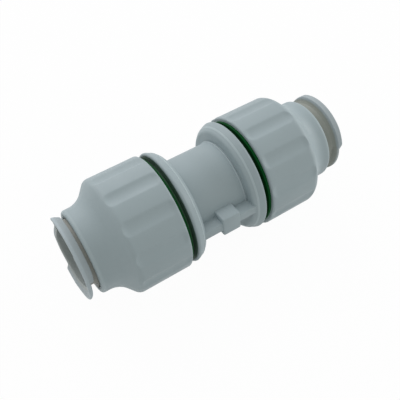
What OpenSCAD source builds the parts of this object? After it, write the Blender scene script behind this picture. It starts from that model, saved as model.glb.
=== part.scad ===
// Straight push-fit connector for one size of plain tube.
// Two identical twist-and-lock ends stand back to back on one moulded body.
// The tube axis is X, the middle of the body is the origin and +Z is up as the part lies.

/* [Tube] */
// Outside diameter of the tube that pushes in
tube_d = 15; // [14.8:0.1:15.2]
// Radial room between the tube and its guide bore
tube_room = 0.1; // [0.05:0.05:0.2]
// Radial depth by which the seal and the teeth bite into a tube
grip_bite = 0.15; // [0.05:0.05:0.15]
// Bore of the waterway between the two tube stops
waterway_d = 12.4; // [9:0.2:13.4]

/* [Body] */
// Outside diameter of the plain barrel
barrel_d = 21.8; // [21:0.2:23]
// Length of the barrel between the two flanges
barrel_l = 14; // [10:1:30]
// Height of each flange above its sleeve
flange_h = 2.7; // [2.4:0.1:4]
// Thickness of each flange at its rim side
flange_w = 3.15; // [3:0.1:5]
// Radius of the edge between the flange's wall and its crown
flange_round = 1.2; // [0.4:0.1:1.5]
// Slope of the flange's crown where it leaves that edge
crown_slope = 40; // [30:1:50]
// Slope of the flange's crown at its rim
rim_slope = 15; // [5:1:20]
// Height of the thin ridge at each end of the barrel
ridge_h = 0.2; // [0.1:0.05:0.4]
// Width of that ridge
ridge_w = 0.5; // [0.3:0.1:1]
// Width of the groove between the ridge and the flange
ridge_groove_w = 0.3; // [0.2:0.1:0.6]
// Wall of the sleeve that the cap screws on
sleeve_wall = 1.2; // [1:0.1:2]
// Length of sleeve past the spacer washer
sleeve_cover = 1.7; // [1:0.1:2.5]
// Length of the bore that guides the tube next to its stop
guide_l = 8; // [5:0.5:14]
// Lead-in chamfer of the guide bore
guide_chamfer = 0.4; // [0.2:0.1:0.8]

/* [Lug] */
// Angle of the rib above the horizontal
rib_angle = 15; // [0:1:40]
// Height of the rib above the barrel
rib_h = 3.1; // [1:0.1:4]
// Thickness of the rib
rib_t = 2.4; // [1:0.1:5]
// Height of the lug above the barrel
lug_h = 3.5; // [1.5:0.1:4.2]
// Thickness of the lug
lug_t = 5.4; // [3:0.1:8]
// Length of the lug along the tube axis
lug_l = 5; // [2:0.2:8]

/* [Cap] */
// Radial step from the flange's rim out to the cap's grip
cap_proud = 0.1; // [0:0.05:1.5]
// Length of the straight grip part of the cap
skirt_l = 13.1; // [12.5:0.1:18]
// Gap between the body's flange and the open cap
gap_w = 1.75; // [1.7:0.05:3]
// Radius of the cap's convex shoulder
shoulder_r = 2; // [1:0.1:3]
// Slope of the cap between its shoulder and its nose
bell_slope = 50; // [40:1:60]
// Radius of the concave sweep into the nose
sweep_r = 3.5; // [2:0.1:5]
// Wall of the nose round the collet's neck
nose_wall = 1.3; // [1:0.1:2]
// Length of the straight nose
nose_l = 2.6; // [2.2:0.1:5]
// Radius on the cap's rim and nose edges
cap_edge_r = 0.5; // [0.2:0.1:0.6]
// Number of flutes round the grip
flute_n = 12; // [6:1:16]
// Depth of each flute
flute_depth = 0.5; // [0.2:0.05:0.8]
// Radius of the scoop that forms a flute
flute_r = 4.5; // [3:0.1:7]
// Turn of the cap's flutes from the vertical
flute_clock = 1.75; // [-15:0.25:15]
// Thickness of the ring that presses on the spacer washer
pusher_t = 0.9; // [0.6:0.1:1.1]

/* [Twist lock] */
// Advance of the cap for one full turn
thread_pitch = 4; // [2:0.5:4]
// Turn of the cap from open to locked
lock_turn = 90; // [45:5:90]

/* [Seal] */
// Section diameter of the sealing ring
seal_section = 2.3; // [1.8:0.05:2.3]
// Axial room beside the sealing ring in its seat
seal_room = 0.5; // [0.3:0.1:1]
// Thickness of the spacer washer
spacer_t = 1.2; // [0.8:0.1:2]
// Thickness of the indicator ring in the gap
indicator_t = 0.6; // [0.4:0.05:0.6]
// Depth of the indicator ring below the flange's rim
indicator_inset = 0.9; // [0.7:0.1:1.5]

/* [Collet] */
// Radial room between the collet and the tube
collet_room = 0.25; // [0.2:0.05:0.4]
// Wall of the collet's neck
neck_t = 1.35; // [1:0.05:1.4]
// Height of the collet's head above its neck
head_h = 0.8; // [0.5:0.1:0.9]
// Length of the collet's head
head_l = 4.3; // [4:0.1:5.5]
// Stand-off between the cap's nose and the left collet's skirt
push_gap = 0.75; // [0.6:0.05:1.5]
// Length of the left collet past the cap's nose
reach_left = 3; // [2.6:0.1:4]
// Length of the right collet past the cap's nose
reach_right = 3.3; // [2.6:0.1:4]
// Height of the collet's flared end above its neck
flare_h = 0.5; // [0.2:0.1:0.8]
// Height of the left collet's skirt above its neck at the rim
skirt_h = 1.6; // [1.2:0.1:2.2]
// Angle that the left collet's skirt spans
skirt_span = 134; // [60:2:140]
// Turn of that skirt below the horizontal
skirt_clock = -86.5; // [-180:0.5:180]
// Height of the left ear's tip above the neck
ear_h_left = 1.75; // [1.2:0.05:2.6]
// Height of the right ear's tip above the neck
ear_h_right = 1.9; // [1.2:0.05:2.6]
// Length of the left ear past the collet's end
ear_l_left = 0.7; // [0.3:0.05:1.5]
// Length of the right ear past the collet's end
ear_l_right = 1.2; // [0.3:0.05:1.5]
// Thickness of the left ear at its tip
ear_t_left = 0.8; // [0.5:0.05:1.6]
// Thickness of the right ear at its tip
ear_t_right = 1.35; // [0.5:0.05:1.6]
// Angle that the left ear spans
ear_span_left = 130; // [60:2:140]
// Angle that the right ear spans
ear_span_right = 112; // [60:2:140]
// Turn of the left ear below the horizontal
ear_clock_left = 44.5; // [-180:0.5:180]
// Turn of the right ear below the horizontal
ear_clock_right = -80.5; // [-180:0.5:180]
// Angle of the window through the left collet's neck
window_span = 76; // [30:2:90]
// Turn of that window below the horizontal
window_clock = 27.5; // [-180:0.5:180]
// Number of fingers of each collet, one tooth in each
finger_n = 8; // [6:1:8]
// Width of the slots between the fingers
slot_w = 0.9; // [0.6:0.1:1.2]
// Length of the slots past the head
slot_run = 2.2; // [1:0.1:3]

/* [Teeth] */
// Thickness of a tooth
tooth_t = 0.5; // [0.3:0.05:0.6]
// Width of a tooth
tooth_w = 2.4; // [1.6:0.1:2.8]
// Lean of a tooth towards the tube stop
tooth_lean = 35; // [20:1:40]
// Distance of the tooth's tip from the collet's inner end
tooth_inset = 0.9; // [0.7:0.1:1.4]

/* [Hidden] */

$fn = 96;
// Sides of the two ends along X
LEFT = -1;
RIGHT = 1;
// Far longer than any cut needs
FAR = 60;
// Radial room between the screwed and sliding plastic pieces
ring_fit = 0.3;
// Axial room kept between two pieces that close on each other
end_fit = 0.1;
// Room between a seal or a tooth and its seat
seat_fit = 0.05;

tube_r = tube_d / 2;
guide_r = tube_r + tube_room;
grip_r = tube_r - grip_bite;
barrel_r = barrel_d / 2;
lock_travel = thread_pitch * lock_turn / 360;

// Stations along X, counted outwards from the middle of the body
stop_x = barrel_l / 2;
flange_x = stop_x + flange_w;
seal_x = stop_x + guide_l + guide_chamfer;
seal_face_x = seal_x + seat_fit + seal_section;
spacer_floor_x = seal_x + seal_section + seal_room;
spacer_x = spacer_floor_x + lock_travel + end_fit;
spacer_out_x = spacer_x + spacer_t;
spacer_boss_x = seal_face_x + lock_travel + end_fit;
sleeve_x = spacer_out_x + sleeve_cover;
rim_x = flange_x + gap_w;
pusher_x = spacer_out_x + end_fit;
cap_floor_x = sleeve_x + lock_travel + 4 * end_fit;
shoulder_x = rim_x + skirt_l;

// Radii of the nested rings, from the tube outwards
seal_r = grip_r + seal_section;
seat_r = seal_r + seat_fit;
collet_bore_r = tube_r + collet_room;
neck_r = collet_bore_r + neck_t;
head_r = neck_r + head_h;
nose_bore_r = neck_r + ring_fit;
chamber_r = head_r + ring_fit;
pusher_r = chamber_r + pusher_t;
spacer_r = pusher_r;
spacer_seat_r = spacer_r + ring_fit;
sleeve_r = spacer_seat_r + sleeve_wall;
flange_r = sleeve_r + flange_h;
cap_bore_r = sleeve_r + ring_fit;
cap_r = flange_r + cap_proud;
nose_r = nose_bore_r + nose_wall;

// Bell of the cap: a convex shoulder, a slope and a concave sweep that meet as tangents
slope_start = [shoulder_x + shoulder_r * sin(bell_slope), cap_r - shoulder_r * (1 - cos(bell_slope))];
slope_end_r = nose_r + sweep_r * (1 - cos(bell_slope));
slope_end_x = slope_start[0] + (slope_start[1] - slope_end_r) / tan(bell_slope);
nose_start_x = slope_end_x + sweep_r * sin(bell_slope);
nose_x = nose_start_x + nose_l;
// The cone that stops the collet's head
cone_l = 1.2;
cone_inset = 3;
cone_x = nose_start_x - cone_inset;

// Collet stations
head_end_x = cone_x - ring_fit;
collet_end_x = head_end_x - head_l;
skirt_x = nose_x + push_gap;
window_end_x = skirt_x + 0.9;
// Corner radius of the small moulded edges
soft = 0.15;
tooth_x = collet_end_x + tooth_inset;

// Points of an arc about c, from angle a0 to angle a1
function arc(c, r, a0, a1, n = 8) =
    [for (i = [0:n]) c + r * [cos(a0 + (a1 - a0) * i / n), sin(a0 + (a1 - a0) * i / n)]];

// The value that belongs to one side
function pick(side, left, right) = side == LEFT ? left : right;

// Turns a profile of [x, radius] points about the tube axis
module turned(points) {
    rotate([90, 0, 90])
        rotate_extrude()
            polygon([for (p = points) [p[1], p[0]]]);
}

// A wedge of the given span about the tube axis, centred on the -Y side
module sector(span, x0, x1) {
    steps = 6;
    translate([x0, 0, 0])
        rotate([90, 0, 90])
            linear_extrude(x1 - x0)
                polygon(concat([[0, 0]],
                    [for (i = [0:steps]) FAR * [-cos(span * (i / steps - 0.5)), sin(span * (i / steps - 0.5))]]));
}

// Both ends are the same parts: the left one is turned half a turn about Z
module at_end(side, clock = 0) {
    rotate([0, 0, side == LEFT ? 180 : 0])
        rotate([side * clock, 0, 0])
            children();
}

module body_end_outside() {
    // The crown takes up the flange's width that its inner edge leaves
    crown_r = (flange_w - flange_round * (1 - sin(crown_slope))) / (sin(crown_slope) - sin(rim_slope));
    crown = [flange_x + crown_r * sin(rim_slope), flange_r - crown_r * cos(rim_slope)];
    edge = crown + (crown_r - flange_round) * [-sin(crown_slope), cos(crown_slope)];
    turned(concat(
        [[0, 0], [0, barrel_r]],
        [[stop_x - ridge_groove_w - ridge_w, barrel_r]],
        [[stop_x - ridge_groove_w - 0.8 * ridge_w, barrel_r + ridge_h]],
        [[stop_x - ridge_groove_w, barrel_r + ridge_h]],
        [[stop_x - ridge_groove_w, barrel_r], [stop_x, barrel_r]],
        arc(edge, flange_round, 180, 90 + crown_slope, 6),
        arc(crown, crown_r, 90 + crown_slope, 90 + rim_slope, 6),
        [[flange_x, flange_r - 0.2]],
        [[flange_x, sleeve_r], [sleeve_x - 0.4, sleeve_r], [sleeve_x, sleeve_r - 0.4], [sleeve_x, 0]]));
}

module body_end_inside() {
    waterway_r = waterway_d / 2;
    turned([
        [0, 0], [0, waterway_r],
        [stop_x, waterway_r], [stop_x, guide_r],
        [seal_x - guide_chamfer, guide_r], [seal_x, guide_r + guide_chamfer],
        [seal_x, seat_r],
        [spacer_floor_x, seat_r], [spacer_floor_x, spacer_seat_r],
        [sleeve_x - 0.3, spacer_seat_r], [sleeve_x, spacer_seat_r + 0.3],
        [sleeve_x + 1, spacer_seat_r + 0.3], [sleeve_x + 1, 0]]);
}

// A block on the -Y side that stands on the barrel and is rooted in its wall
module outrigger(length, thickness, height) {
    root_depth = 1.5;
    translate([-length / 2, -barrel_r - height, -thickness / 2])
        cube([length, height + root_depth, thickness]);
}

// Rib from flange to flange with a thicker lug at its middle
module lug() {
    rotate([-rib_angle, 0, 0]) {
        outrigger(barrel_l + flange_w, rib_t, rib_h);
        outrigger(lug_l, lug_t, lug_h);
    }
}

module body() {
    color("lightsteelblue")
        difference() {
            union() {
                for (side = [LEFT, RIGHT]) at_end(side) body_end_outside();
                lug();
            }
            for (side = [LEFT, RIGHT]) at_end(side) body_end_inside();
        }
}

module cap_outside() {
    rim_edge = [rim_x + cap_edge_r, cap_r - cap_edge_r];
    nose_edge = [nose_x - cap_edge_r, nose_r - cap_edge_r];
    turned(concat(
        [[rim_x, 0]],
        arc(rim_edge, cap_edge_r, 180, 90, 4),
        arc([shoulder_x, cap_r - shoulder_r], shoulder_r, 90, 90 - bell_slope, 6),
        arc([nose_start_x, nose_r + sweep_r], sweep_r, 270 - bell_slope, 270, 6),
        arc(nose_edge, cap_edge_r, 90, 0, 4),
        [[nose_x, 0]]));
}

module cap_inside() {
    bore_chamfer = 0.5;
    turned([
        [rim_x - 1, 0], [rim_x - 1, cap_bore_r + bore_chamfer],
        [rim_x, cap_bore_r + bore_chamfer], [rim_x + bore_chamfer, cap_bore_r],
        [cap_floor_x, cap_bore_r], [cap_floor_x, pusher_r],
        [pusher_x, pusher_r], [pusher_x, chamber_r],
        [cone_x, chamber_r], [cone_x + cone_l, nose_bore_r],
        [nose_x - 0.3, nose_bore_r], [nose_x, nose_bore_r + 0.3],
        [nose_x + 1, nose_bore_r + 0.3], [nose_x + 1, 0]]);
}

// One scoop that runs in from the rim and ends round at the shoulder
module flute() {
    scoop_x = shoulder_x - 0.8;
    translate([0, 0, flute_depth - cap_r - flute_r]) {
        translate([rim_x - 1, 0, 0])
            rotate([0, 90, 0])
                cylinder(r = flute_r, h = scoop_x - rim_x + 1);
        translate([scoop_x, 0, 0])
            sphere(r = flute_r);
    }
}

module cap(side) {
    color("lightsteelblue")
        at_end(side, flute_clock * side)
            difference() {
                cap_outside();
                cap_inside();
                for (k = [0:flute_n - 1]) rotate([k * 360 / flute_n, 0, 0]) flute();
            }
}

// Places a child drawn on the -Y side at a turn below the horizontal, still on the -Y side
module clocked(side, clock) {
    rotate([pick(side, 180 - clock, clock), 0, 0])
        children();
}

// Head and neck of the collet, flared a little at its open end
module collet_blank(end_x) {
    flare_l = 0.9;
    turned([
        [collet_end_x, 0], [collet_end_x, head_r - 0.3], [collet_end_x + 0.3, head_r],
        [head_end_x, head_r], [head_end_x + cone_l, neck_r],
        [end_x - flare_l, neck_r], [end_x - soft, neck_r + flare_h],
        [end_x, neck_r + flare_h - soft], [end_x, 0]]);
}

// Skirt that stands off the cap's nose on one side of the collet
module collet_skirt(end_x) {
    skirt_r = neck_r + skirt_h;
    root_r = collet_bore_r - 1;
    intersection() {
        turned([
            [skirt_x, root_r], [skirt_x, neck_r + 0.5 * skirt_h],
            [skirt_x + soft, neck_r + 0.5 * skirt_h + soft],
            [end_x - 1.1, skirt_r - 0.2], [end_x - 2 * soft, skirt_r],
            [end_x, skirt_r - 2 * soft], [end_x, root_r]]);
        sector(skirt_span, skirt_x - 1, end_x + 1);
    }
}

// Ear that rises from the neck's end and leans outwards
module ear(end_x, height, length, thickness, span) {
    tip_r = neck_r + height;
    tip_x = end_x + length;
    back_x = tip_x - thickness;
    root_r = collet_bore_r - 1;
    intersection() {
        turned([
            [end_x - 1.2, root_r], [end_x - 1.2, neck_r - 0.2],
            [back_x - soft, tip_r - 2 * soft], [back_x + soft, tip_r],
            [tip_x - soft, tip_r], [tip_x, tip_r - soft],
            [tip_x - 0.1, tip_r - 4 * soft], [end_x + soft, root_r]]);
        sector(span, end_x - 2, tip_x + 1);
    }
}

module collet_bore(end_x) {
    lead_in = 0.25;
    turned([
        [collet_end_x - 1, 0], [collet_end_x - 1, collet_bore_r],
        [end_x - lead_in, collet_bore_r], [end_x, collet_bore_r + lead_in],
        [end_x + 3, collet_bore_r + lead_in], [end_x + 3, 0]]);
}

// A slot between two fingers, on the -Y side
module finger_slot() {
    slot_end = head_end_x + slot_run;
    translate([collet_end_x - 1, -FAR, -slot_w / 2])
        cube([slot_end - collet_end_x + 1, FAR, slot_w]);
}

// A leaning plate on the -Y side whose inner edge lies on the grip radius
module tooth_plate(room) {
    height = (head_r - 0.3 - grip_r) / cos(tooth_lean);
    translate([tooth_x, -grip_r, 0])
        rotate([0, 0, tooth_lean])
            translate([-room, -height - room, -tooth_w / 2 - room])
                cube([tooth_t + 2 * room, height + 2 * room, tooth_w + 2 * room]);
}

// Each tooth ends in one sharp edge that points at the tube stop
module tooth_blank() {
    difference() {
        tooth_plate(0);
        translate([tooth_x, -grip_r, -tooth_w])
            cube([4 * tooth_t, 4 * tooth_t, 2 * tooth_w]);
    }
}

function finger_angle(k) = (k + 0.5) * 360 / finger_n;

module collet_left_end(end_x) {
    clocked(LEFT, skirt_clock) collet_skirt(end_x);
    clocked(LEFT, ear_clock_left) ear(end_x, ear_h_left, ear_l_left, ear_t_left, ear_span_left);
}

module collet_right_end(end_x) {
    clocked(RIGHT, ear_clock_right) ear(end_x, ear_h_right, ear_l_right, ear_t_right, ear_span_right);
}

module collet(side) {
    end_x = nose_x + pick(side, reach_left, reach_right);
    color("gainsboro")
        at_end(side)
            difference() {
                union() {
                    collet_blank(end_x);
                    if (side == LEFT) collet_left_end(end_x);
                    if (side == RIGHT) collet_right_end(end_x);
                }
                collet_bore(end_x);
                if (side == LEFT) clocked(LEFT, window_clock) sector(window_span, nose_x + end_fit, window_end_x);
                for (k = [0:finger_n - 1]) rotate([k * 360 / finger_n, 0, 0]) finger_slot();
                for (k = [0:finger_n - 1]) rotate([finger_angle(k), 0, 0]) tooth_plate(seat_fit);
            }
}

module tooth(side, k) {
    color("silver")
        at_end(side)
            rotate([finger_angle(k - 1), 0, 0])
                tooth_blank();
}

module o_ring(side) {
    color("dimgray")
        at_end(side)
            translate([seal_x + seat_fit + seal_section / 2, 0, 0])
                rotate([90, 0, 90])
                    rotate_extrude()
                        translate([grip_r + seal_section / 2, 0])
                            circle(d = seal_section, $fn = 48);
}

// Flat washer with a short boss that reaches towards the sealing ring
module spacer_washer(side) {
    boss_r = seat_r - ring_fit;
    color("whitesmoke")
        at_end(side)
            turned([
                [spacer_boss_x, collet_bore_r], [spacer_boss_x, boss_r],
                [spacer_x, boss_r], [spacer_x, spacer_r],
                [spacer_out_x, spacer_r], [spacer_out_x, collet_bore_r]]);
}

// Ring that rides in front of the cap's rim and shows in the gap while the cap is open
module indicator_ring(side) {
    inner_r = sleeve_r + seat_fit * 3;
    outer_r = flange_r - indicator_inset;
    near_x = rim_x - seat_fit - indicator_t;
    color("darkgreen")
        at_end(side)
            turned([
                [near_x, inner_r], [near_x, outer_r],
                [near_x + indicator_t, outer_r], [near_x + indicator_t, inner_r]]);
}

body();
cap(LEFT);  // cap_left
cap(RIGHT);  // cap_right
collet(LEFT);  // collet_left
collet(RIGHT);  // collet_right
o_ring(LEFT);  // o_ring_left
o_ring(RIGHT);  // o_ring_right
spacer_washer(LEFT);  // spacer_washer_left
spacer_washer(RIGHT);  // spacer_washer_right
indicator_ring(LEFT);  // indicator_ring_left
indicator_ring(RIGHT);  // indicator_ring_right
for (k = [1:finger_n]) {
    tooth(LEFT, k);
    tooth(RIGHT, k);
}
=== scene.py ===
"""Looks of the straight push-fit connector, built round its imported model.

Lengths in the shape functions are millimetres. A surface is a grid of stations along X and
angles c round the tube axis, where c is the turn below the horizontal on the -Y side. The
collets also use theta, the same turn counted from the line that faces the camera.
"""

from collections import namedtuple

import bmesh
import bpy
import numpy as np
from mathutils import Matrix, Vector


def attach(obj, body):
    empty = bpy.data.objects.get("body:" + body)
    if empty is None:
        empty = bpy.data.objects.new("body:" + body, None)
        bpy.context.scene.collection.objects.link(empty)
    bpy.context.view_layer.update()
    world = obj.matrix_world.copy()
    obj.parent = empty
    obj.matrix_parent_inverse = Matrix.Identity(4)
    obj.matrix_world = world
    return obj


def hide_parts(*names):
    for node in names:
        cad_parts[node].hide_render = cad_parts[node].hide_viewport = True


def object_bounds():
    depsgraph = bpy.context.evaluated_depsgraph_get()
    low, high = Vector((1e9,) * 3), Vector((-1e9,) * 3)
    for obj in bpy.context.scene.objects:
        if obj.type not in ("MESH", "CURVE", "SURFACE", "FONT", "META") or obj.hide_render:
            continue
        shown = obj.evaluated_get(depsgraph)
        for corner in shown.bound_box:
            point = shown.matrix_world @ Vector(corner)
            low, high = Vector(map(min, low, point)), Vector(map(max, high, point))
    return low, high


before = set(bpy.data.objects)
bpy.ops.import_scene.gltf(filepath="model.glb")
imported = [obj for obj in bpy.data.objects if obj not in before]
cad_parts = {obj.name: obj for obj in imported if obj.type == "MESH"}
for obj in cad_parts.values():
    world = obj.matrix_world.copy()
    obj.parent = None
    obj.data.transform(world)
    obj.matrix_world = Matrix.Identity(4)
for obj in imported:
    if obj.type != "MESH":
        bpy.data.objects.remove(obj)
cad_lo, cad_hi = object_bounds()
scene = bpy.context.scene
MM = 0.001
FULL_TURN = 2 * np.pi
LEFT, RIGHT = -1, 1
SIDES = ((LEFT, "left"), (RIGHT, "right"))

# Camera as fitted to the photograph
CAMERA_PLACE = Vector((-49.392, -64.862, 124.864)) * MM
CAMERA_RIGHT = Vector((0.838778, -0.542265, 0.048989))
CAMERA_UP = Vector((0.437728, 0.725105, 0.531617))
CAMERA_TURN = 62.55  # degrees by which the camera's line lies above the horizontal
FOCAL_PIXELS = 577.15
PHOTO_PIXELS = 400
SENSOR = 36.0

# Sizes shared with the solids. The cap's radius is a little less, to stay inside their box.
BARREL_R, STOP_X = 10.9, 7.0
FLANGE_R, FLANGE_X = 15.3, 10.15
SLEEVE_R, SLEEVE_X = 12.6, 22.2
CAP_R, RIM_X, SHOULDER_X = 15.385, 11.9, 25.0
NOSE_START_X, NOSE_X = 31.509, 34.109
NECK_R, TUBE_BORE_R, NOSE_BORE_R = 9.1, 7.75, 9.4
FLUTE_N, FINGER_N = 12, 8
THREAD_PITCH = 4.0
RIB_ANGLE = 15.0

# Inside profiles shared with the solids, as (station, radius)
CAP_INSIDE = [
    (NOSE_X, 9.7), (NOSE_X - 0.3, NOSE_BORE_R), (29.709, NOSE_BORE_R),  # nose bore
    (28.509, 10.2), (20.6, 10.2),  # cone and chamber of the fingers
    (20.6, 11.1), (23.6, 11.1),  # pusher ring
    (23.6, 12.9), (RIM_X + 0.5, 12.9), (RIM_X, 13.4),  # bore over the sleeve
]
BODY_INSIDE = [
    (22.2, 11.7), (21.9, 11.4), (18.2, 11.4),  # seat of the spacer
    (18.2, 9.7), (15.4, 9.7),  # seat of the sealing ring
    (15.4, 8.0), (15.0, 7.6), (7.0, 7.6),  # guide bore up to the tube stop
    (7.0, 6.2), (0.7, 6.2),  # waterway
]

# Steps of the surfaces
INSIDE_STEP, BARREL_STEP, CAP_STEP, THREAD_STEP = 1.5, 0.8, 0.3, 0.2
BODY_COLUMNS = 300
FLUTE_COLUMNS = 34
SHARP_ANGLE = 38.0

# Linear colours
GREY_PLASTIC = (0.329, 0.399, 0.420)
# Painted highlight: paler grey along the ridge by the barrel's end
RIDGE_HIGHLIGHT = (0.40, 0.47, 0.49)
# Painted highlight: paler grey on the rounded end of each cap's nose
NOSE_HIGHLIGHT = (0.365, 0.44, 0.46)
# Painted highlight: paler grey along the bead on each flange's crown
BEAD_HIGHLIGHT = (0.42, 0.50, 0.52)
COLLET_PLASTIC = (0.35, 0.405, 0.425)
# Painted shade, darker and warmer, on each collet's neck in the groove behind the cap's nose
# and, on the right, on the back of the ear
LEFT_NECK_SHADE = (0.335, 0.34, 0.305)
RIGHT_NECK_SHADE = (0.285, 0.305, 0.27)
# Painted shade: a darker grey-green inside each collet's mouth
MOUTH_SHADE = (0.335, 0.37, 0.36)
# Painted highlight: paler along the front edge of the left collet's skirt and ear
FRONT_EDGE_HIGHLIGHT = (0.42, 0.49, 0.52)
# The indicator ring's green; on the body it also darkens the gap under each cap as painted shade
RING_GREEN = (0.0005, 0.062, 0.011)
SEAL_BLACK = (0.02, 0.02, 0.02)
SPACER_IVORY = (0.55, 0.55, 0.50)
TOOTH_STEEL = (0.6, 0.6, 0.62)
WHITE = (1.0, 1.0, 1.0, 1.0)
PAPER = (0.9, 0.9, 0.9, 1.0)

# A tint between two radii and two stations, in mm, with edges that fade over a soft width
Band = namedtuple("Band", "tint radii stations soft")


def make_camera():
    data = bpy.data.cameras.new("camera")
    data.sensor_width = SENSOR
    data.lens = FOCAL_PIXELS / PHOTO_PIXELS * SENSOR
    data.clip_start, data.clip_end = 0.005, 10.0
    camera = bpy.data.objects.new("camera", data)
    back = CAMERA_RIGHT.cross(CAMERA_UP)
    turn = Matrix((CAMERA_RIGHT, CAMERA_UP, back)).transposed()
    camera.matrix_world = Matrix.Translation(CAMERA_PLACE) @ turn.to_4x4()
    scene.collection.objects.link(camera)
    scene.camera = camera


class Shader:
    """A material's node tree, with short calls to add and join nodes."""

    def __init__(self, name):
        self.material = bpy.data.materials.new(name)
        self.material.use_nodes = True
        self.tree = self.material.node_tree
        self.tree.nodes.clear()
        self.out = self.add("ShaderNodeOutputMaterial")

    def add(self, kind, props=None, **inputs):
        node = self.tree.nodes.new(kind)
        for key, value in (props or {}).items():
            setattr(node, key, value)
        for key, value in inputs.items():
            self.put(node, key.replace("_", " "), value)
        return node

    def put(self, node, key, value):
        socket = node.inputs[key]
        if isinstance(value, bpy.types.NodeSocket):
            self.tree.links.new(value, socket)
        else:
            socket.default_value = value

    def noise(self, coords, scale, detail):
        node = self.add(
            "ShaderNodeTexNoise", Vector=coords, Scale=scale, Detail=detail, Roughness=0.5)
        return node.outputs["Fac"]

    def span(self, value, low, high, from_low, from_high):
        """Maps a value from one span to another, and holds it at the ends."""
        node = self.add("ShaderNodeMapRange", Value=value)
        for key, number in (("From Min", from_low), ("From Max", from_high),
                            ("To Min", low), ("To Max", high)):
            self.put(node, key, number)
        return node.outputs["Result"]

    def mix(self, factor, a, b):
        node = self.add("ShaderNodeMix", {"data_type": "RGBA"})
        for key, value in ((0, factor), (6, a), (7, b)):
            self.put(node, key, value)
        return node.outputs[2]

    def math(self, operation, a, b=0.0):
        node = self.add("ShaderNodeMath", {"operation": operation})
        self.put(node, 0, a)
        self.put(node, 1, b)
        return node.outputs[0]

    def inside(self, coords, band):
        """1 where the distances from the tube axis and from the middle lie in the band."""
        parts = self.add("ShaderNodeSeparateXYZ", Vector=coords)
        y2 = self.math("POWER", parts.outputs["Y"], 2.0)
        z2 = self.math("POWER", parts.outputs["Z"], 2.0)
        radius = self.math("SQRT", self.math("ADD", y2, z2))
        station = self.math("ABSOLUTE", parts.outputs["X"])
        shares = []
        for value, (low, high) in ((radius, band.radii), (station, band.stations)):
            up = self.span(value, 0.0, 1.0, low * MM, (low + band.soft) * MM)
            down = self.span(value, 1.0, 0.0, (high - band.soft) * MM, high * MM)
            shares.append(self.math("MULTIPLY", up, down))
        return self.math("MULTIPLY", *shares)

    def edges(self, radius):
        """1 on edges finer than radius, 0 on flat and gently curved faces."""
        bevel = self.add("ShaderNodeBevel", {"samples": 4}, Radius=radius)
        geometry = self.add("ShaderNodeNewGeometry")
        dot = self.add("ShaderNodeVectorMath", {"operation": "DOT_PRODUCT"})
        self.put(dot, 0, bevel.outputs[0])
        self.put(dot, 1, geometry.outputs["Normal"])
        return self.span(dot.outputs["Value"], 1.0, 0.0, 0.75, 0.995)


def sees_backdrop(tree):
    """1 for camera, glossy and transmission rays, which see the white backdrop as it is."""
    rays = tree.nodes.new("ShaderNodeLightPath")
    seen = rays.outputs["Is Camera Ray"]
    for kind in ("Is Glossy Ray", "Is Transmission Ray"):
        either = tree.nodes.new("ShaderNodeMath")
        either.operation = "MAXIMUM"
        tree.links.new(seen, either.inputs[0])
        tree.links.new(rays.outputs[kind], either.inputs[1])
        seen = either.outputs[0]
    return seen


def shade(colour, factor=1.0):
    return tuple(min(1.0, c * factor) for c in colour) + (1.0,)


def moulded_plastic(name, colour, roughness=0.55, bands=(), ior=1.5):
    """Satin injection-moulded plastic: cloudy tone, fine tool grain, and fine edges paler in
    random patches, partly as wear and partly as a painted edge highlight.
    """
    s = Shader(name)
    coords = s.add("ShaderNodeTexCoord").outputs["Object"]
    cloud = s.noise(coords, scale=55.0, detail=2.0)
    speck = s.noise(coords, scale=900.0, detail=3.0)
    grain = s.noise(coords, scale=5200.0, detail=2.0)
    polish = s.noise(coords, scale=320.0, detail=3.0)

    tone = s.mix(s.span(cloud, 0.0, 1.0, 0.3, 0.7), shade(colour, 0.965), shade(colour, 1.03))
    tone = s.mix(s.span(speck, 0.0, 0.10, 0.58, 0.75), tone, shade(colour, 0.80))
    # Fine edges paler in random patches: partly wear, partly a painted edge highlight; they are
    # also a little smoother
    edge_wear_and_highlight = s.math("MULTIPLY", s.edges(0.35 * MM), s.span(speck, 0.2, 0.8, 0.35, 0.65))
    tone = s.mix(s.math("MULTIPLY", edge_wear_and_highlight, 0.5), tone, shade(colour, 1.22))
    for band in bands:
        cover = s.span(cloud, 0.88, 1.0, 0.3, 0.7)
        tone = s.mix(s.math("MULTIPLY", s.inside(coords, band), cover), tone, shade(band.tint))

    rough = s.span(polish, roughness - 0.05, roughness + 0.06, 0.3, 0.7)
    rough = s.math("SUBTRACT", rough, s.math("MULTIPLY", edge_wear_and_highlight, 0.10))
    bump = s.add("ShaderNodeBump", Strength=0.25, Distance=0.03 * MM, Height=grain)
    shader = s.add("ShaderNodeBsdfPrincipled",
                   Base_Color=tone, Roughness=rough, Normal=bump.outputs[0])
    s.put(shader, "IOR", ior)
    s.put(s.out, 0, shader.outputs[0])
    return s.material


def dress(mesh, material):
    mesh.materials.clear()
    mesh.materials.append(material)


# Shapes: profiles are lists of (station along X, radius)
def arc(centre, radius, start, end, steps):
    """Points of an arc between two angles in degrees."""
    turns = np.radians(np.linspace(start, end, steps + 1))
    return [(centre[0] + radius * np.cos(t), centre[1] + radius * np.sin(t)) for t in turns]


def dense(points, step):
    """Adds points so that no stretch of the profile is longer than step."""
    out = [points[0]]
    for a, b in zip(points, points[1:]):
        a, b = np.array(a), np.array(b)
        n = max(1, int(np.ceil(np.linalg.norm(b - a) / step)))
        out += [tuple(a + (b - a) * k / n) for k in range(1, n + 1)]
    return out


def smooth_min(a, b, k):
    """The lower of two surfaces, with their crossing rounded over about k."""
    h = np.clip(0.5 + 0.5 * (b - a) / k, 0, 1)
    return b * (1 - h) + a * h - k * h * (1 - h)


def ease(value):
    """Soft step from 0 to 1."""
    value = np.clip(value, 0, 1)
    return value * value * (3 - 2 * value)


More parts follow.
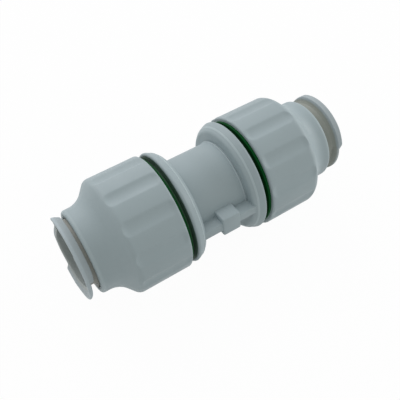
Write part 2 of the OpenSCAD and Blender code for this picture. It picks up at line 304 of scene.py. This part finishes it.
def around_axis(profile, columns):
    """Grids of station, radius and angle for a profile turned about the tube axis."""
    x, r = np.array(profile).T
    c = np.arange(columns) * FULL_TURN / columns
    X, C = np.meshgrid(x, c, indexing="ij")
    R = np.meshgrid(r, c, indexing="ij")[0]
    return X, R, C


def place(side, x, r, c):
    """Metres from a station, a radius and a turn below the horizontal on the -Y side."""
    return np.stack([side * x, -r * np.cos(c), -r * np.sin(c)], -1) * MM


def make_piece(name, points, faces, body, material):
    mesh = bpy.data.meshes.new(name)
    corners = [tuple(int(i) for i in face) for face in faces]
    mesh.from_pydata([tuple(p) for p in points], [], corners)
    form = bmesh.new()
    form.from_mesh(mesh)
    if form.calc_volume(signed=True) < 0:
        bmesh.ops.reverse_faces(form, faces=form.faces)
    form.to_mesh(mesh)
    form.free()
    mesh.shade_smooth()
    mesh.set_sharp_from_angle(angle=np.radians(SHARP_ANGLE))
    piece = bpy.data.objects.new(name, mesh)
    scene.collection.objects.link(piece)
    dress(mesh, material)
    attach(piece, body)
    return piece


def ring_faces(rows, columns):
    """Quads of a grid that closes on itself both ways."""
    i, j = np.meshgrid(np.arange(rows), np.arange(columns), indexing="ij")
    i2, j2 = (i + 1) % rows, (j + 1) % columns
    corners = [i * columns + j, i * columns + j2, i2 * columns + j2, i2 * columns + j]
    return np.stack(corners, -1).reshape(-1, 4)


def cap_outside():
    """The cap's outline from its rim over the shoulder and the bell to the nose."""
    rim_round, shoulder_round, nose_round = 0.5, 2.0, 0.8
    # The nose and its sweep are wider than in the solids, where they are 10.7 and 3.5. That
    # brings the upper outline about a pixel nearer to the photograph's.
    nose_r, bell_slope = 11.0, 50.0
    sweep_r, solid_sweep_r, sweep_back = 5.5, 3.5, 0.25
    lengthened = (sweep_r - solid_sweep_r) * np.tan(np.radians(bell_slope / 2))
    sweep_x = NOSE_START_X + lengthened - sweep_back
    points = arc((RIM_X + rim_round, CAP_R - rim_round), rim_round, 180, 90, 5)
    points += arc((SHOULDER_X, CAP_R - shoulder_round), shoulder_round, 90, 90 - bell_slope, 10)
    points += arc((sweep_x, nose_r + sweep_r), sweep_r, 270 - bell_slope, 270, 14)
    points += arc((NOSE_X - nose_round, nose_r - nose_round), nose_round, 90, 0, 7)
    return dense(points, CAP_STEP)


def flute_floor(side, X, C):
    """Radius of the flutes' floor: round-nosed scoops that fade out at the cap's rim."""
    scoop_r, depth, end_x, clock = 4.5, 0.5, 24.2, 1.75
    rim_rise, rim_fade = 0.35, 1.6
    no_flute = 99.0  # beyond any radius of the part
    pitch = FULL_TURN / FLUTE_N
    turn = (C - side * np.radians(clock) + pitch / 2) % pitch - pitch / 2
    reach = np.clip(scoop_r ** 2 - np.clip(X - end_x, 0, scoop_r) ** 2, 0, None)
    distance = CAP_R + scoop_r - depth
    under = reach - (distance * np.sin(turn)) ** 2
    floor = distance * np.cos(turn) - np.sqrt(np.clip(under, 0, None))
    return np.where(under > 0, floor, no_flute) + rim_rise * (1 - ease((X - RIM_X) / rim_fade))


def make_cap(side, word, material):
    """Cap with soft flutes that run in from the rim and end round at the shoulder."""
    blend = 0.13
    outside = cap_outside()
    profile = outside + dense(CAP_INSIDE, INSIDE_STEP)
    X, R, C = around_axis(profile, FLUTE_N * FLUTE_COLUMNS)
    floor = flute_floor(side, X, C)
    outer = (np.arange(len(profile)) < len(outside))[:, None]
    cut = np.minimum(R, smooth_min(R, floor, blend))
    R = np.where(outer & (floor < R + blend), cut, R)
    points = place(side, X, R, C).reshape(-1, 3)
    faces = ring_faces(*X.shape)
    name = "cap_%s_shell" % word
    piece = make_piece(name, points, faces, word + "_cap", material)
    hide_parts("cap_" + word)


def body_outside():
    """Half of the body's outline from its middle to the sleeve's end."""
    # The flange: a small round at its wall, then one wide arc as its crown
    wall_round, crown_slope, rim_slope = 1.2, np.radians(40.0), np.radians(15.0)
    width = FLANGE_X - STOP_X
    run = width - wall_round * (1 - np.sin(crown_slope))
    crown_r = run / (np.sin(crown_slope) - np.sin(rim_slope))
    crown = (FLANGE_X + crown_r * np.sin(rim_slope), FLANGE_R - crown_r * np.cos(rim_slope))
    shift = crown_r - wall_round
    wall = (crown[0] - shift * np.sin(crown_slope), crown[1] + shift * np.cos(crown_slope))
    start = 90 + np.degrees(crown_slope)
    # The rim's rounding touches the crown where the crown's turn is rim_turn
    rim_r = 0.5
    rim_turn = np.degrees(np.arccos((FLANGE_X - rim_r - crown[0]) / (crown_r - rim_r)))
    rim = (FLANGE_X - rim_r, crown[1] + (crown_r - rim_r) * np.sin(np.radians(rim_turn)))
    rim_foot_r = 13.8

    ridge_x, ridge_w, ridge_h, ridge_fullness, foot_r = 6.3, 0.42, 0.26, 0.6, 0.12
    ridge = [(ridge_x + ridge_w * t, BARREL_R + ridge_h * np.sin(np.pi * t) ** ridge_fullness)
             for t in np.linspace(0, 1, 7)]
    bead_h, bead_x = 0.09, (7.88, 8.25)
    root_round, end_chamfer = 0.2, 0.4

    points = dense([(0, BARREL_R), (ridge_x - 0.1, BARREL_R)], BARREL_STEP) + ridge
    points += arc((STOP_X - foot_r, BARREL_R + foot_r), foot_r, 270, 360, 4)
    points += arc(wall, wall_round, 180, start, 8) + arc(crown, crown_r, start, rim_turn, 25)[1:]
    points = [(x, r + bead_h) if bead_x[0] < x < bead_x[1] else (x, r) for x, r in points]
    points += arc(rim, rim_r, rim_turn, 0, 8)[1:] + [(FLANGE_X, rim_foot_r)]
    points += [(FLANGE_X, SLEEVE_R + root_round), (FLANGE_X + root_round, SLEEVE_R)]
    sleeve = [(FLANGE_X + 0.3, SLEEVE_R), (SLEEVE_X - end_chamfer, SLEEVE_R)]
    return points + dense(sleeve, THREAD_STEP) + [(SLEEVE_X, SLEEVE_R - end_chamfer)]


def thread_rise(X, C):
    """Height of the helical thread above the sleeve, with a run-out at both ends."""
    height, crest, valley = 0.22, 1.6, 0.6
    start_gap, start_run, end_gap, end_run = 1.0, 1.5, 0.5, 1.0
    lead = (X / THREAD_PITCH - C / FULL_TURN) % 1.0
    ridge = np.clip(crest * np.cos(FULL_TURN * (lead - 0.5)) - valley, 0, 1) * height
    run_in = np.clip((np.abs(X) - FLANGE_X - start_gap) / start_run, 0, 1)
    run_out = np.clip((SLEEVE_X - end_gap - np.abs(X)) / end_run, 0, 1)
    return ridge * (run_in * run_out)


def make_body(material):
    """Barrel, flanges and sleeves turned as one shell, with a thread on each sleeve."""
    half = body_outside() + dense(BODY_INSIDE, INSIDE_STEP)
    profile = half + [(-x, r) for x, r in half[:0:-1]]
    X, R, C = around_axis(profile, BODY_COLUMNS)
    R = R + np.where(np.abs(R - SLEEVE_R) < 1e-6, thread_rise(X, C), 0.0)
    points = place(RIGHT, X, R, C).reshape(-1, 3)
    faces = ring_faces(*X.shape)
    piece = make_piece("body_shell", points, faces, "body", material)
    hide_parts("body")


def make_block(name, length, thickness, height, soft, material):
    """A soft-edged block that stands on the barrel, turned up to the rib's angle."""
    root = 1.5
    form = bmesh.new()
    bmesh.ops.create_cube(form, size=1.0)
    for v in form.verts:
        outward = height if v.co.y < 0 else -root
        v.co = Vector((v.co.x * length, -BARREL_R - outward, v.co.z * thickness)) * MM
    bmesh.ops.bevel(form, geom=form.edges[:], offset=soft * MM, segments=4, profile=0.5,
                    affect="EDGES")
    turn = Matrix.Rotation(np.radians(-RIB_ANGLE), 3, "X")
    bmesh.ops.rotate(form, verts=form.verts, matrix=turn)
    form.verts.index_update()
    points = [v.co[:] for v in form.verts]
    faces = [[v.index for v in f.verts] for f in form.faces]
    form.free()
    return make_piece(name, points, faces, "body", material)


def wall_between(side, x, outer, inner, c, solid):
    """Points and faces of the wall between two grids, with openings where solid is False."""
    rows, columns = x.shape
    points = np.concatenate([place(side, x, r, c).reshape(-1, 3) for r in (outer, inner)])
    low = rows * columns
    faces = []

    def wall(a, b):
        faces.append((a, b, b + low, a + low))

    for i in range(rows - 1):
        for j in range(columns):
            if not solid[i, j]:
                continue
            j2 = (j + 1) % columns
            a, b = i * columns + j, i * columns + j2
            d, e = b + columns, a + columns
            faces.append((a, e, d, b))
            faces.append((a + low, b + low, d + low, e + low))
            if i == 0 or not solid[i - 1, j]:
                wall(a, b)
            if i == rows - 2 or not solid[i + 1, j]:
                wall(d, e)
            if not solid[i, j - 1]:
                wall(e, a)
            if not solid[i, j2]:
                wall(b, d)
    used = sorted({i for f in faces for i in f})
    renamed = {old: new for new, old in enumerate(used)}
    return points[used], [[renamed[i] for i in f] for f in faces]


# Fronts of the collets, as tables of (angles theta, values): how far each ear reaches past
# the front, the radius of its tip, and for the left one the length over which it rises
LEFT_SKIRT = (-92, 4, 55, 14)  # start, its ramp, end, its ramp
LEFT_EAR = (40, 5, 174, 5)
LEFT_EAR_REACH = ((42, 80, 122, 155, 172), (0.05, 0.12, 0.35, 0.68, 0.6))
LEFT_EAR_TIP_R = ((42, 60, 172), (10.75, 10.85, 10.85))
LEFT_EAR_RUN = ((40, 60, 80, 110, 160), (0.1, 0.4, 0.9, 1.0, 1.05))
LEFT_FRONT_X = ((172, 200, 228, 250, 262, 278, 300), (37.2, 37.3, 37.2, 36.6, 36.4, 36.95, 37.1))
LEFT_FRONT_MAX_X = 37.78
LEFT_EAR_ROOT_X = 36.05
RIGHT_EAR = (-100, 6, 44, 11)
RIGHT_EAR_REACH = ((-100, -60, -30, 10, 41), (0.9, 1.18, 1.18, 1.15, 0.85))
RIGHT_EAR_TIP_R = ((-100, -70, 41), (10.2, 11.0, 11.0))
RIGHT_FRONT_X, RIGHT_EAR_BACK = 37.75, 0.35
# Rise of the right ear from the neck to its tip, by station
RIGHT_EAR_RISE = (
    (34.3, 35.4, 36.2, 36.6, 36.8, 36.95, 37.05), (0, 0.05, 0.2, 0.45, 0.7, 0.93, 1.0))
# Radius of the left skirt by station. Its start slants away from the nose past one angle.
SKIRT_X, SKIRT_STEP = 34.84, 0.09
SKIRT_R = ((SKIRT_X, 34.92, 35.9, 36.75, 36.95, 37.1), (NECK_R, 9.98, 10.45, 10.7, 10.68, 10.5))
SKIRT_SLANT, SKIRT_SLANT_FROM, SKIRT_SLANT_SPAN = 0.45, 25, 30
# The left window between two angles; its start slants towards the nose
WINDOW = (57.0, 128.0)
WINDOW_X, WINDOW_END_X = 35.15, 36.15
WINDOW_SLANT, WINDOW_SLANT_SPAN = 0.85, 11
COLUMN_DEGREES, FINE_DEGREES, FINE_SPAN = 1.5, 0.5, 12
# Slots between the fingers
SLOT_HALF, SLOT_END_X = 2.9, 30.409
# Fingers and neck up to the flare, and the lead-in of the bore
COLLET_X = (23.909, 24.2, 28.209, 29.409, 36.3, 37.0)
COLLET_R = (9.6, 9.9, 9.9, NECK_R, NECK_R)
LEAD_IN = ((36.9, 37.4), (TUBE_BORE_R, 8.0))
COLLET_STATIONS = (23.909, 24.2, 25.5, 27.0, 28.2, 28.8, 29.4, SLOT_END_X, 31.6, 33.0)
FINE_X, FINE_ROWS = 34.15, 84  # from here on the rows follow the front


def share(angle, start, start_ramp, end, end_ramp):
    """1 between two angles and 0 outside, with soft ramps just inside the span."""
    return ease(np.minimum((angle - start) / start_ramp, (end - angle) / end_ramp))


def collet_angles(window):
    """Angles c in degrees of the columns, with one at each edge of a slot and the window."""
    slots = [k * 360 / FINGER_N + d for k in range(FINGER_N) for d in (-SLOT_HALF, SLOT_HALF)]
    fine = np.arange(window[0], window[0] + FINE_SPAN, FINE_DEGREES) if window else ()
    angles = [*np.arange(0, 360, COLUMN_DEGREES), *slots, *window, *fine]
    return np.array(sorted({round(a % 360, 3) for a in angles}))


def collet_openings(x, degrees, window):
    """False for each cell of the grid that lies in a slot or in the window."""
    middle_x = 0.5 * (x[:-1] + x[1:])
    middle_c = degrees + 0.5 * ((np.roll(degrees, -1) - degrees) % 360)
    pitch = 360 / FINGER_N
    in_slot = np.abs((middle_c + pitch / 2) % pitch - pitch / 2) < SLOT_HALF
    solid = ~((middle_x < SLOT_END_X) & in_slot[None])
    if window:
        low, high = window
        past = (middle_c - low) % 360
        start = WINDOW_X - WINDOW_SLANT * ease(past / WINDOW_SLANT_SPAN)
        in_window = (past < (high - low))[None]
        solid &= ~((middle_x > start[None]) & (middle_x < WINDOW_END_X) & in_window)
    return solid


def make_collet(side, word, material):
    """Collet with slotted fingers and the skirt, window and ear of its own side."""
    window = tuple(a - CAMERA_TURN for a in WINDOW) if side == LEFT else ()
    degrees = collet_angles(window)
    theta = (degrees + CAMERA_TURN + 180) % 360 - 180
    around = theta % 360
    if side == LEFT:
        skirt = share(theta, *LEFT_SKIRT)
        ear = share(around, *LEFT_EAR)
        tip = np.interp(around, *LEFT_EAR_TIP_R)
        front = np.interp(around, *LEFT_FRONT_X) + ear * np.interp(around, *LEFT_EAR_REACH)
        front = np.minimum(front, LEFT_FRONT_MAX_X)
        flare_l, flare_h = 0.75, 0.45
    else:
        skirt = np.zeros_like(theta)
        ear = share(theta, *RIGHT_EAR)
        tip = np.interp(theta, *RIGHT_EAR_TIP_R)
        reach = np.interp(theta, *RIGHT_EAR_REACH) - RIGHT_EAR_BACK
        front = RIGHT_FRONT_X + ear * reach
        flare_l, flare_h = 1.1, 1.3

    stations = np.array([*COLLET_STATIONS, FINE_X])
    steps = np.linspace(0, 1, FINE_ROWS + 1)[1:, None]
    rows = np.repeat(stations[:, None], len(theta), 1)
    x = np.concatenate([rows, FINE_X + steps * (front - FINE_X)])

    # Outside: fingers, neck and its flare, then the skirt and the ear over them
    outer = np.interp(x, COLLET_X, (*COLLET_R, NECK_R + flare_h))
    skirt_start = SKIRT_X + SKIRT_SLANT * ease((theta - SKIRT_SLANT_FROM) / SKIRT_SLANT_SPAN)
    skirt_run = np.clip((x - skirt_start) / SKIRT_STEP, 0, 1)
    skirt_out = NECK_R + (np.interp(x, *SKIRT_R) - NECK_R) * skirt * skirt_run
    outer = np.maximum(outer, skirt_out)
    if side == LEFT:
        rise = ease((x - LEFT_EAR_ROOT_X) / np.interp(around, *LEFT_EAR_RUN))
    else:
        rise = np.interp(x, *RIGHT_EAR_RISE)
    ear_out = NECK_R + (tip - NECK_R) * rise
    outer = outer + (np.maximum(ear_out, outer) - outer) * ear
    lip, lip_h, lip_wall = 0.15, 0.14, 0.12
    outer = outer - lip_h * np.clip((x - front + lip) / lip, 0, 1) ** 2

    # Inside: bore, its lead-in, the dish behind the skirt's front and the flare of the ear
    dish_l, dish_r, ear_wall, flare_power = 0.65, 10.2, 0.35, 1.3
    inner = np.interp(x, *LEAD_IN)
    run = np.clip((x - front + dish_l) / dish_l, 0, 1)
    dish = TUBE_BORE_R + (dish_r - TUBE_BORE_R) * run
    inner = inner + (np.maximum(dish, inner) - inner) * skirt
    run = np.clip((x - front + flare_l) / flare_l, 0, 1) ** flare_power
    flare = TUBE_BORE_R + (tip - ear_wall - TUBE_BORE_R) * run
    inner = inner + (np.maximum(flare, inner) - inner) * ear
    inner = np.minimum(inner, outer - lip_wall)

    c = np.repeat(np.radians(degrees)[None], len(x), 0)
    solid = collet_openings(x, degrees, window)
    points, faces = wall_between(side, x, outer, inner, c, solid)
    name = "collet_%s_shell" % word
    piece = make_piece(name, points, faces, word + "_collet", material)
    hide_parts("collet_" + word)


def make_floor(height):
    """A floor that reads as white paper and keeps the part's faint shadow."""
    size, white_share = 1.5, 0.965
    mesh = bpy.data.meshes.new("floor")
    corners = [(x * size, y * size, height) for x, y in ((-1, -1), (1, -1), (1, 1), (-1, 1))]
    mesh.from_pydata(corners, [], [(0, 1, 2, 3)])
    floor = bpy.data.objects.new("floor", mesh)
    scene.collection.objects.link(floor)
    s = Shader("floor")
    diffuse = s.add("ShaderNodeBsdfDiffuse", Color=PAPER)
    glow = s.add("ShaderNodeEmission", Color=WHITE, Strength=1.0)
    mix = s.add("ShaderNodeMixShader")
    s.put(mix, 0, s.math("MULTIPLY", sees_backdrop(s.tree), white_share))
    s.put(mix, 1, diffuse.outputs[0])
    s.put(mix, 2, glow.outputs[0])
    s.put(s.out, 0, mix.outputs[0])
    mesh.materials.append(s.material)


def make_world(strength, colour):
    """Even fill light, behind a white backdrop."""
    world = bpy.data.worlds.new("studio")
    scene.world = world
    world.use_nodes = True
    tree = world.node_tree
    tree.nodes.clear()
    out = tree.nodes.new("ShaderNodeOutputWorld")
    fill = tree.nodes.new("ShaderNodeBackground")
    fill.inputs["Strength"].default_value = strength
    fill.inputs["Color"].default_value = colour
    white = tree.nodes.new("ShaderNodeBackground")
    white.inputs["Color"].default_value = WHITE
    mix = tree.nodes.new("ShaderNodeMixShader")
    tree.links.new(sees_backdrop(tree), mix.inputs[0])
    tree.links.new(fill.outputs[0], mix.inputs[1])
    tree.links.new(white.outputs[0], mix.inputs[2])
    tree.links.new(mix.outputs[0], out.inputs[0])


def soft_box(name, place_at, size, power, colour):
    """A square lamp that looks at the part's middle."""
    data = bpy.data.lights.new(name, "AREA")
    data.shape = "SQUARE"
    data.size = size
    data.energy = power
    data.color = colour
    lamp = bpy.data.objects.new(name, data)
    lamp.location = place_at
    lamp.rotation_mode = "QUATERNION"
    lamp.rotation_quaternion = (-Vector(place_at)).to_track_quat("-Z", "Y")
    scene.collection.objects.link(lamp)


make_camera()
scene.view_settings.view_transform = "Standard"
make_world(strength=0.575, colour=(0.99, 1.0, 0.98, 1.0))
soft_box("key", place_at=(-0.03, 0.58, 0.38), size=0.6, power=2.25, colour=(0.98, 0.96, 1.0))
soft_box("side", place_at=(0.60, -0.05, 0.12), size=0.35, power=1.4, colour=(1.0, 1.0, 1.0))
make_floor(cad_lo.z)

# Finishes by the start of a node's name
finishes = {
    "body": moulded_plastic("body_finish", GREY_PLASTIC, bands=(
        # Dark green over the sleeve and the flange's side face under each cap: the indicator's
        # colour, and on the flange's face painted shade of the gap
        Band(RING_GREEN, radii=(12.2, 14.55), stations=(10.05, 13.5), soft=0.12),
        # Painted highlight along the ridge near each flange
        Band(RIDGE_HIGHLIGHT, radii=(10.95, 12.0), stations=(6.2, 6.85), soft=0.12),
        # Painted highlight along the bead on the flange's crown
        Band(BEAD_HIGHLIGHT, radii=(14.1, 14.75), stations=(7.8, 8.35), soft=0.1))),
    "cap": moulded_plastic("cap_finish", GREY_PLASTIC, bands=(
        # Painted highlight on the rounded end of the nose
        Band(NOSE_HIGHLIGHT, radii=(9.6, 11.3), stations=(33.1, 34.5), soft=0.2),)),
    "collet_left": moulded_plastic("collet_left_finish", COLLET_PLASTIC, bands=(
        # Painted shade on the neck in the groove behind the nose
        Band(LEFT_NECK_SHADE, radii=(8.4, 10.0), stations=(30.0, 36.3), soft=0.35),
        # Painted shade inside the mouth
        Band(MOUTH_SHADE, radii=(7.0, 8.8), stations=(34.3, 38.5), soft=0.3),
        # Painted highlight along the lit front edge of the skirt and ear
        Band(FRONT_EDGE_HIGHLIGHT, radii=(10.2, 11.5), stations=(36.2, 38.5), soft=0.3))),
    "collet_right": moulded_plastic("collet_right_finish", COLLET_PLASTIC, bands=(
        # Painted shade on the neck and the back of the ear, in the groove behind the nose
        Band(RIGHT_NECK_SHADE, radii=(8.4, 10.6), stations=(30.0, 37.9), soft=0.5),
        # Painted shade inside the mouth
        Band(MOUTH_SHADE, radii=(7.0, 8.3), stations=(34.3, 39.0), soft=0.2))),
    "o_ring": moulded_plastic("seal_finish", SEAL_BLACK),
    "spacer_washer": moulded_plastic("spacer_finish", SPACER_IVORY),
    "indicator_ring": moulded_plastic("indicator_finish", RING_GREEN, roughness=0.7, ior=1.2),
    "tooth": moulded_plastic("tooth_finish", TOOTH_STEEL, roughness=0.3),
}
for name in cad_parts:
    kind = next(kind for kind in finishes if name.startswith(kind))
    dress(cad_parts[name].data, finishes[kind])

make_body(finishes["body"])
make_block("body_rib", length=17.15, thickness=2.4, height=3.1, soft=0.28,
           material=finishes["body"])
make_block("body_lug", length=5.0, thickness=5.4, height=3.5, soft=0.4,
           material=finishes["body"])
for side, word in SIDES:
    make_cap(side, word, finishes["cap"])
    make_collet(side, word, finishes["collet_" + word])
